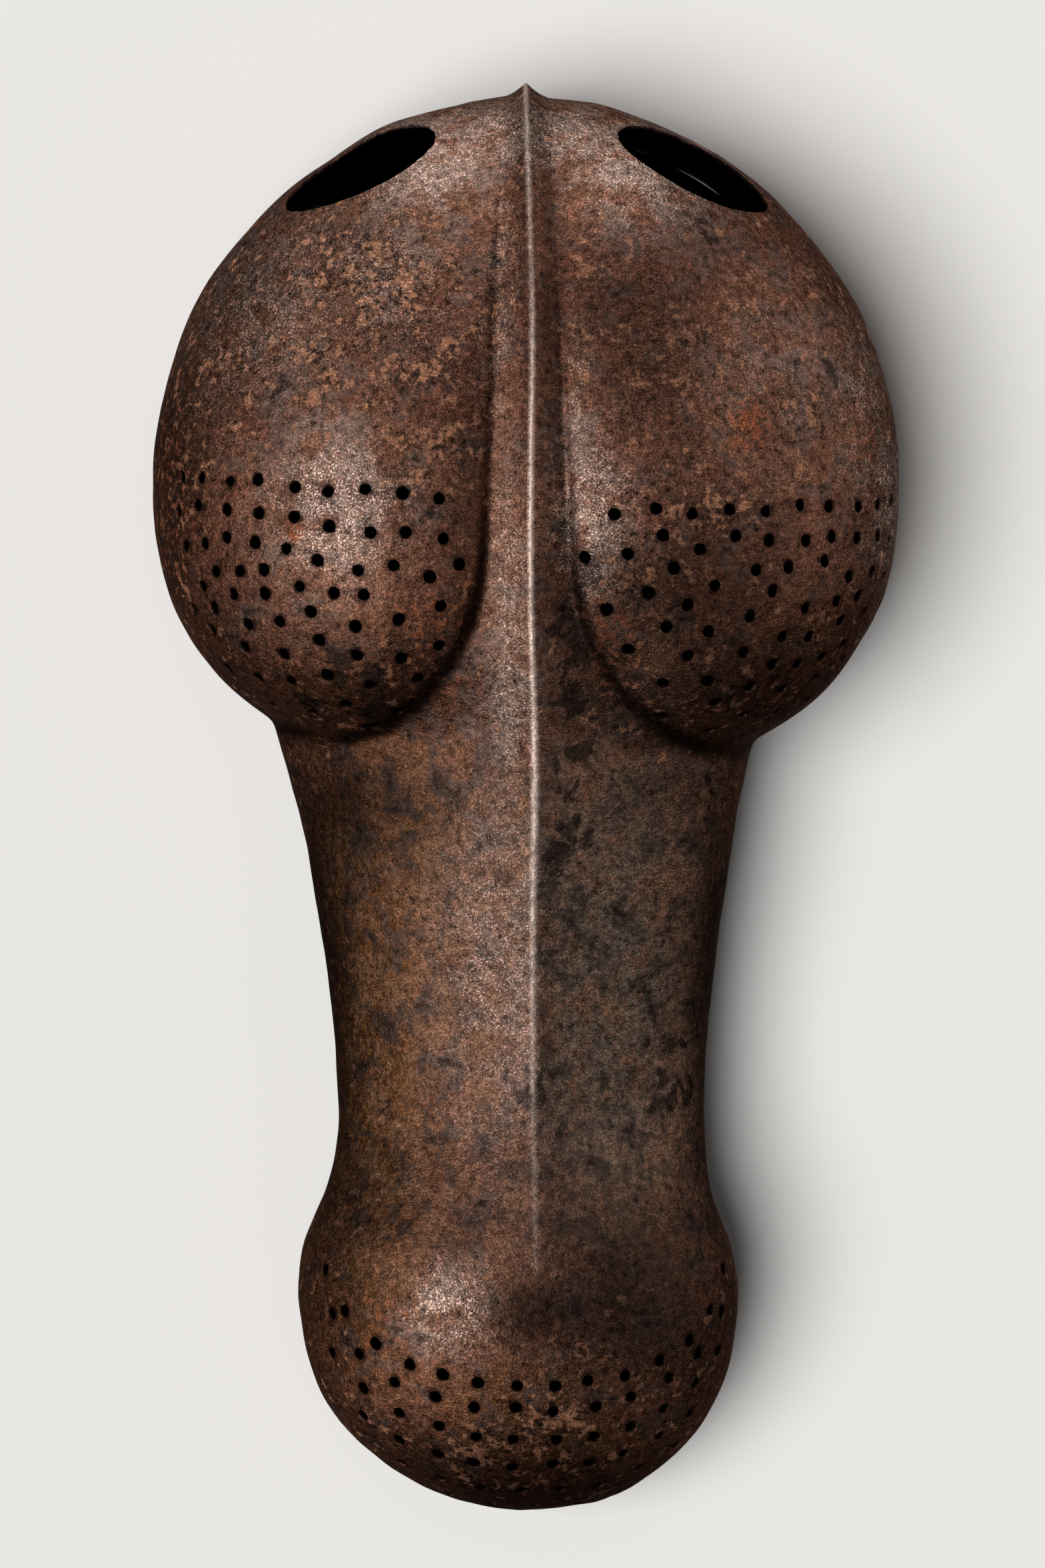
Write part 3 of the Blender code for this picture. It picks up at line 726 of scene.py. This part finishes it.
# How far a mark draws its finish over the field that it follows.
DRAWS = {"skin": 0.12, "scale": 0.125, "rust": 0.30, "soot": 0.34}
PITS_DRAWN = 0.07
# How much the flecks fray an outline.
BLOTCHES_FRAYED, FLAKES_FRAYED = 0.30, 0.60
# How far a finish covers what lies under it.
SMOOTH_COVERS, RUBBED_AND_HIGHLIGHT_COVERS, FLAKE_EDGE_SHADOW_COVERS, WORN_EVENS = 0.75, 0.50, 0.65, 0.80
# How far each mark darkens the iron. The marks of the creases, of the dark ovals, of the rim and of the
# inside are painted shade; the others darken round the holes and over the neck.
DARKENED = {"crease": 0.8, "hole": 0.7, "grime": 0.8, "neck": 0.14, "rim": 0.85, "inside": 0.97}
RUBBED_POLISH = 0.06
METAL_TINT = (0.45, 0.36, 0.32, 1.0)
CLOUD_RELIEF, FLECK_RELIEF, FLAKE_SHARE = 0.0006, 0.0008, 0.4
# The numbers of a Mix node's colour sockets.
COLOUR_A, COLOUR_B, COLOUR_OUT = 6, 7, 2


class Graph:
    """Shader nodes laid down and joined in one line each."""

    def __init__(self, material):
        material.use_nodes = True
        self.material = material
        self.nodes = material.node_tree.nodes
        self.links = material.node_tree.links
        self.shader = self.nodes["Principled BSDF"]
        self.place = self.nodes.new("ShaderNodeTexCoord").outputs["Object"]

    def node(self, kind, inputs, **settings):
        made = self.nodes.new(kind)
        for name, value in settings.items():
            setattr(made, name, value)
        for name, value in inputs.items():
            self.put(made.inputs[name], value)
        return made

    def put(self, socket, value):
        if isinstance(value, bpy.types.NodeSocket):
            self.links.new(value, socket)
        else:
            socket.default_value = value

    def noise(self, field):
        """Cloudy noise, laid out along the object or stretched over it."""
        place = self.place
        if field.stretch:
            inputs = {"Vector": place, "Scale": field.stretch}
            place = self.node("ShaderNodeMapping", inputs).outputs["Vector"]
        inputs = {
            "Vector": place, "Scale": 1 / field.size, "Detail": field.detail,
            "Roughness": field.roughness, "Distortion": field.warp,
        }
        return self.node("ShaderNodeTexNoise", inputs).outputs["Fac"]

    def cells(self, size):
        """The distance from the middles of cells about size across, as a share of it."""
        inputs = {"Vector": self.place, "Scale": 1 / size}
        return self.node("ShaderNodeTexVoronoi", inputs).outputs["Distance"]

    def ramp(self, value, edge):
        """A value turned into another one between the two ends of an edge."""
        inputs = dict(zip(("From Min", "From Max", "To Min", "To Max"), edge), Value=value)
        return self.node("ShaderNodeMapRange", inputs, interpolation_type="SMOOTHSTEP").outputs["Result"]

    def math(self, operation, a, b):
        made = self.nodes.new("ShaderNodeMath")
        made.operation = operation
        self.put(made.inputs[0], a)
        self.put(made.inputs[1], b)
        return made.outputs[0]

    def plus(self, a, b):
        return self.math("ADD", a, b)

    def minus(self, a, b):
        return self.math("SUBTRACT", a, b)

    def times(self, a, b):
        return self.math("MULTIPLY", a, b)

    def edge(self, name, value):
        return self.ramp(value, Edge(*EDGES[name]))

    def drawn(self, name, field):
        """A field raised by a mark, so that its finish spreads there."""
        return self.plus(field, self.times(self.mark(name), DRAWS[name]))

    def mix(self, factor, a, b, kind="MIX"):
        made = self.nodes.new("ShaderNodeMix")
        made.data_type, made.blend_type = "RGBA", kind
        self.put(made.inputs["Factor"], factor)
        for socket, value in ((made.inputs[COLOUR_A], a), (made.inputs[COLOUR_B], b)):
            self.put(socket, value if isinstance(value, bpy.types.NodeSocket) else (*value, 1.0))
        return made.outputs[COLOUR_OUT]

    def mark(self, name):
        return self.node("ShaderNodeAttribute", {}, attribute_name=name).outputs["Fac"]

    def bump(self, height, distance, normal=None):
        inputs = {"Height": height, "Distance": distance}
        if normal is not None:
            inputs["Normal"] = normal
        return self.node("ShaderNodeBump", inputs).outputs["Normal"]


def iron_shade(g, grain, flecks, even, worn):
    """Light and dark of the pebbled grain, evened where the iron is smooth or worn, then darkened by the
    marks: painted shade, darkening round the holes and a darker neck.
    """
    coarse, fine = g.edge("coarse_grain", grain), g.edge("fine_grain", grain)
    shade = g.plus(coarse, g.times(even, g.minus(fine, coarse)))
    shade = g.times(shade, g.edge("fleck_shade", flecks))
    shade = g.plus(shade, g.times(g.times(worn, WORN_EVENS), g.minus(1.0, shade)))
    for name, depth in DARKENED.items():
        shade = g.times(shade, g.ramp(g.mark(name), Edge(0.0, 1.0, 1.0, 1.0 - depth)))
    inputs = {"Red": shade, "Green": shade, "Blue": shade}
    return g.node("ShaderNodeCombineColor", inputs).outputs["Color"]


def old_iron(look):
    """Old iron under brown rust: a pebbled skin, flakes of scale, stains and a worn crest, with painted
    highlights and painted shade.
    """
    g = Graph(bpy.data.materials.new("old_iron"))
    clouds, patches, streaks, flecks = (g.noise(field) for field in (CLOUDS, PATCHES, STREAKS, FLECKS))
    grain = g.noise(Field(look.grain, *GRAIN))
    neck, scale, fray = g.mark("neck"), g.mark("scale"), g.minus(flecks, 0.5)
    rubbed = g.times(g.mark("rubbed"), g.edge("rubbed", patches))
    smooth = g.edge("smooth", g.drawn("skin", patches))
    blotchy = g.plus(g.noise(DRIPS), g.times(fray, BLOTCHES_FRAYED))
    blotches = g.times(neck, g.edge("blotches", blotchy))
    flaky = g.drawn("scale", g.plus(g.noise(LACE), g.times(fray, FLAKES_FRAYED)))
    flakes = g.times(g.edge("flakes", flaky), g.edge("flakes_on_neck", neck))
    rusty = g.drawn("rust", flecks)
    pitted = g.minus(flecks, g.times(scale, PITS_DRAWN))
    worn = g.times(g.mark("crest"), g.edge("worn", streaks))
    # Glints: painted highlight specks, a few everywhere and most on the rubbed places.
    glints = g.times(g.edge("glints", g.noise(GLINTS)), g.edge("glints_where_rubbed", rubbed))
    colour = look.brown
    for share, layer in (
        (g.edge("dark_clouds", clouds), look.dark_brown),
        (g.edge("red_streaks", streaks), look.red_brown),
        (g.times(g.mark("gold"), g.edge("gold", streaks)), look.gold),
        (g.times(g.mark("olive"), g.edge("olive", patches)), look.olive),
        (g.times(neck, g.edge("cream", patches)), look.cream),
        (g.times(smooth, SMOOTH_COVERS), g.mix(neck, look.mauve, look.murk)),
        # Pale rubbed places: partly wear, partly painted highlight.
        (g.times(rubbed, RUBBED_AND_HIGHLIGHT_COVERS), look.rubbed),
        (blotches, look.murk),
        # Painted shadow round the edges of the flakes of scale, in the soot colour.
        (g.times(g.times(g.edge("flake_edge_shadow", flaky), scale), FLAKE_EDGE_SHADOW_COVERS), look.soot),
        (g.times(flakes, g.edge("flakes_in_streaks", streaks)), look.tan),
        (g.edge("rust", rusty), look.rust),
        (g.edge("soot", g.drawn("soot", patches)), look.soot),
        (g.edge("pits", pitted), look.soot),
        (worn, look.worn),
        # Painted highlight specks in the worn colour.
        (g.times(glints, g.edge("glints_on_smooth", smooth)), look.worn),
    ):
        colour = g.mix(share, colour, layer)
    shade = iron_shade(g, grain, flecks, g.math("MAXIMUM", smooth, blotches), worn)
    dust = g.times(g.edge("dust", g.cells(DUST_CELL)), g.edge("dusty_areas", g.noise(DUSTY_AREAS)))
    g.put(g.shader.inputs["Base Color"], g.mix(dust, g.mix(1.0, colour, shade, "MULTIPLY"), look.dust))

    crust = g.math("MAXIMUM", flakes, g.edge("crust", rusty))
    dull = g.ramp(g.math("MAXIMUM", crust, grain), Edge(DULL_FROM, DULL_FULL, look.polish, DULLEST))
    g.put(g.shader.inputs["Roughness"], g.minus(dull, g.times(rubbed, RUBBED_POLISH)))
    g.put(g.shader.inputs["Metallic"], g.edge("crust_metal", crust))
    g.shader.inputs["Specular Tint"].default_value = METAL_TINT

    relief = g.bump(clouds, CLOUD_RELIEF)
    relief = g.bump(g.plus(g.times(flakes, FLAKE_SHARE), flecks), FLECK_RELIEF, relief)
    g.put(g.shader.inputs["Normal"], g.bump(grain, look.relief, relief))
    return g.material


def clouded(name, colour, field, shade, roughness, gloss):
    """A material of one colour, shaded by noise."""
    g = Graph(bpy.data.materials.new(name))
    shaded = g.mix(g.noise(field), colour, tuple(shade * part for part in colour))
    for socket, value in (("Base Color", shaded), ("Roughness", roughness), ("Specular IOR Level", gloss)):
        g.put(g.shader.inputs[socket], value)
    return g.material


# ------------ settings
def number(label, about, default, **settings):
    return FloatProperty(name=label, description=about, default=default, min=0, **settings)


def length(label, about, default):
    return number(label, about, default, unit="LENGTH", precision=5)


def power(label, about, default):
    return number(label, about, default, unit="POWER")


def tint(label, about, default):
    return FloatVectorProperty(
        name=label, description=about, default=default, subtype="COLOR", size=3, min=0, max=1
    )


class PlateSettings(bpy.types.PropertyGroup):
    """Sizes of the plate."""

    thickness: length("Thickness", "Thickness of the iron", 0.0015)
    hole_radius: length("Hole radius", "Radius of the sight and breath holes", 0.0026)
    rib_gap: length("Rib gap", "Mesh spacing along the plate", 0.0029)
    column_gap: length("Column gap", "Mesh spacing across the plate's sides", 0.0030)
    wave: length("Wave", "Length of the wide unevenness left by hammering", 0.060)
    wave_depth: length("Wave depth", "Depth of the wide unevenness", 0.0004)
    dent: length("Dent", "Length of the small unevenness left by hammering", 0.018)
    dent_depth: length("Dent depth", "Depth of the small unevenness", 0.00008)
    crease_softness: IntProperty(
        name="Crease softness", description="How often the face is smoothed before it is cut",
        default=2, min=0,
    )


class IronSettings(bpy.types.PropertyGroup):
    """Colours and grain of the old iron."""

    brown: tint("Brown", "Main colour of the rust skin", (0.145, 0.061, 0.036))
    dark_brown: tint("Dark brown", "Its darker clouds", (0.088, 0.038, 0.025))
    red_brown: tint("Red brown", "Streaks in it", (0.130, 0.047, 0.026))
    mauve: tint("Mauve", "Smooth grey skin", (0.092, 0.054, 0.043))
    murk: tint("Murk", "Smooth dark blotches of the neck", (0.052, 0.034, 0.028))
    cream: tint("Cream", "Pale worn patches of the neck", (0.250, 0.140, 0.085))
    tan: tint("Tan", "Flakes of scale", (0.245, 0.110, 0.060))
    gold: tint("Gold", "Golden brown of the neck's left side", (0.120, 0.048, 0.013))
    olive: tint("Olive", "Grey of the neck's right side", (0.150, 0.108, 0.080))
    rust: tint("Rust", "Fresh rust", (0.205, 0.054, 0.020))
    # Partly the colour of rubbed wear, partly a painted highlight.
    rubbed: tint("Rubbed", "High places rubbed bright", (0.330, 0.225, 0.178))
    # This colour also paints the painted shadow round the edges of the flakes of scale.
    soot: tint("Soot", "Dark stains, pits and dirt in corners", (0.020, 0.011, 0.008))
    # This colour also paints the glints, which are painted highlight specks.
    worn: tint("Worn", "Bare metal of the keel's crest and of fine glints", (0.860, 0.660, 0.560))
    dust: tint("Dust", "Crumbs of pale dust", (0.520, 0.340, 0.240))
    grain: length("Grain", "Size of the pebbled grain", 0.0007)
    relief: length("Relief", "Depth of the pebbled grain", 0.00035)
    polish: number("Roughness", "Roughness of the smooth skin", 0.36, max=1)


class StudioSettings(bpy.types.PropertyGroup):
    """Camera, floor and light."""

    camera_height: length("Camera height", "Height of the camera over the floor", 2.46)
    view_height: length("View height", "What the camera takes in along the plate, at its waist", 0.704)
    floor: tint("Floor", "Colour of the floor", (0.78, 0.765, 0.745))
    # A near-black sheet of painted shade, hidden under the plate and seen through the holes.
    cloth: tint("Cloth", "Colour of the cloth that lies hidden under the plate", (0.002, 0.002, 0.002))
    key_light: power("Key light", "Power of the main light, from the left", 140.0)
    top_light: power("Top light", "Power of the grazing light from the poll's side", 120.0)
    fill_light: power("Fill light", "Power of the weak light from the right", 14.0)
    side_light: power("Side light", "Power of the low light past the right ear", 44.0)
    floor_light: number("Floor light", "Strength of the floor's own wide light", 3.3)
    sky: number("Surroundings", "Strength of the plain surroundings", 0.10)


# ------------ the studio
# Soft lamps: their kind, how wide each is, or the angle that a sun fills, and where each stands.
Lamp = namedtuple("Lamp", "name kind width place")
LAMPS = (
    Lamp("key_light", "AREA", 1.0, (-2.56, -0.93, 2.93)),
    Lamp("top_light", "AREA", 1.6, (-0.34, 3.90, 0.90)),
    Lamp("fill_light", "AREA", 1.6, (2.60, -1.10, 2.83)),
    Lamp("side_light", "AREA", 1.2, (3.20, 1.20, 0.90)),
    Lamp("floor_light", "SUN", math.radians(40), (-1.30, -0.50, 3.30)),
)
LAMPS_AIM_AT = Vector((0, 0.02, 0.08))
SKY_COLOUR = (0.98, 0.97, 0.95, 1.0)
FLOOR_REACH = 60.0
# The noise on the floor and on the sheet of painted shade under the plate, how far it darkens them, and their
# roughness and gloss.
FLOOR_FINISH = (Field(0.6, 2.0), 0.97, 0.9, 0.5)
SHADE_SHEET_FINISH = (Field(0.001, 2.0), 0.5, 1.0, 0.0)
SHADE_SHEET_SHARE, SHADE_SHEET_HEIGHT = 0.994, 0.0005
CAMERA_OVER, CAMERA_REACH, SENSOR_HEIGHT = (-0.0018, 0.0063), 100.0, 36.0
WAIST_HEIGHT = 0.060


def add_lamp(lamp, energy, floor):
    """Hangs a lamp. The floor's own lamp lights nothing else, and the others leave the floor alone."""
    data = bpy.data.lights.new(lamp.name, lamp.kind)
    data.energy = energy
    if lamp.kind == "SUN":
        data.angle = lamp.width
    else:
        data.size = lamp.width
    light = bpy.data.objects.new(lamp.name, data)
    light.location = lamp.place
    light.rotation_euler = (LAMPS_AIM_AT - light.location).to_track_quat("-Z", "Y").to_euler()
    light.visible_camera = False
    bpy.context.scene.collection.objects.link(light)
    linked = bpy.data.collections.new("floor_for_" + lamp.name)
    linked.objects.link(floor)
    light.light_linking.receiver_collection = linked
    if lamp.kind != "SUN":
        linked.collection_objects[0].light_linking.link_state = "EXCLUDE"


# ------------ operators
class CHANFRON_OT_face_plate(bpy.types.Operator):
    """Make the chanfron's plate with its holes and its old iron"""

    bl_idname = "chanfron.face_plate"
    bl_label = "Face Plate"

    def execute(self, context):
        settings = context.scene.chanfron_plate
        plate = add_object("chanfron_plate", *plate_body(settings))
        points, faces, hole_centres = cutter(settings)
        tool = add_object("chanfron_cutter", points, faces)
        cut = plate.modifiers.new("cut", "BOOLEAN")
        cut.operation, cut.solver, cut.object = "DIFFERENCE", "EXACT", tool
        apply_modifiers(plate)
        bpy.data.meshes.remove(tool.data)
        mesh = plate.data
        mesh.shade_smooth()
        mesh.set_sharp_from_angle(angle=SHARP_FROM)
        points, normals = np.empty((2, 3 * len(mesh.vertices)))
        mesh.vertices.foreach_get("co", points)
        mesh.vertices.foreach_get("normal", normals)
        add_marks(mesh, marks(points.reshape(-1, 3), normals.reshape(-1, 3), hole_centres))
        mesh.materials.clear()
        mesh.materials.append(old_iron(context.scene.chanfron_iron))
        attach(plate, "root")
        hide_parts("face_plate")
        return {"FINISHED"}


class CHANFRON_OT_studio(bpy.types.Operator):
    """Set the pale floor, the soft lights and the camera over the plate"""

    bl_idname = "chanfron.studio"
    bl_label = "Studio"

    def execute(self, context):
        scene, look = context.scene, context.scene.chanfron_studio
        corners = [(x * FLOOR_REACH, y * FLOOR_REACH, 0) for x, y in ((-1, -1), (1, -1), (1, 1), (-1, 1))]
        floor = add_object("studio_floor", corners, [(0, 1, 2, 3)])
        floor.data.materials.append(clouded("pale_floor", look.floor, *FLOOR_FINISH))
        floor.visible_diffuse = floor.visible_glossy = False  # its glow stays off the iron
        # A near-black sheet of painted shade, hidden under the plate and seen through the holes.
        outline = [(x, y, SHADE_SHEET_HEIGHT) for x, y in rim_outline(SHADE_SHEET_SHARE)]
        cloth = add_object("studio_cloth", outline, [tuple(range(len(outline)))])
        cloth.data.materials.append(clouded("black_cloth", look.cloth, *SHADE_SHEET_FINISH))
        for lamp in LAMPS:
            add_lamp(lamp, getattr(look, lamp.name), floor)
        world = bpy.data.worlds.new("studio")
        world.use_nodes = True
        background = world.node_tree.nodes["Background"]
        background.inputs["Color"].default_value = SKY_COLOUR
        background.inputs["Strength"].default_value = look.sky
        scene.world = world
        lens = bpy.data.cameras.new("camera")
        lens.sensor_fit, lens.sensor_height = "VERTICAL", SENSOR_HEIGHT
        lens.lens = lens.sensor_height * (look.camera_height - WAIST_HEIGHT) / look.view_height
        lens.clip_end = CAMERA_REACH
        camera = bpy.data.objects.new("camera", lens)
        camera.location = (*CAMERA_OVER, look.camera_height)
        scene.collection.objects.link(camera)
        scene.camera = camera
        scene.view_settings.view_transform = "Standard"
        return {"FINISHED"}


class CHANFRON_PT_looks(bpy.types.Panel):
    """Chanfron looks in the sidebar"""

    bl_label = "Chanfron"
    bl_idname = "CHANFRON_PT_looks"
    bl_space_type = "VIEW_3D"
    bl_region_type = "UI"
    bl_category = "Chanfron"

    def draw(self, context):
        scene = context.scene
        for operator, settings in (
            (CHANFRON_OT_face_plate, (scene.chanfron_plate, scene.chanfron_iron)),
            (CHANFRON_OT_studio, (scene.chanfron_studio,)),
        ):
            box = self.layout.box()
            box.operator(operator.bl_idname)
            for group in settings:
                for name in group.__annotations__:
                    box.prop(group, name)


CLASSES = (
    PlateSettings, IronSettings, StudioSettings,
    CHANFRON_OT_face_plate, CHANFRON_OT_studio, CHANFRON_PT_looks,
)
GROUPS = {"chanfron_plate": PlateSettings, "chanfron_iron": IronSettings, "chanfron_studio": StudioSettings}


def register():
    for cls in CLASSES:
        bpy.utils.register_class(cls)
    for name, group in GROUPS.items():
        setattr(bpy.types.Scene, name, PointerProperty(type=group))


def unregister():
    for name in GROUPS:
        delattr(bpy.types.Scene, name)
    for cls in reversed(CLASSES):
        bpy.utils.unregister_class(cls)


def main():
    register()
    bpy.ops.chanfron.face_plate()
    bpy.ops.chanfron.studio()


if __name__ == "__main__":
    main()
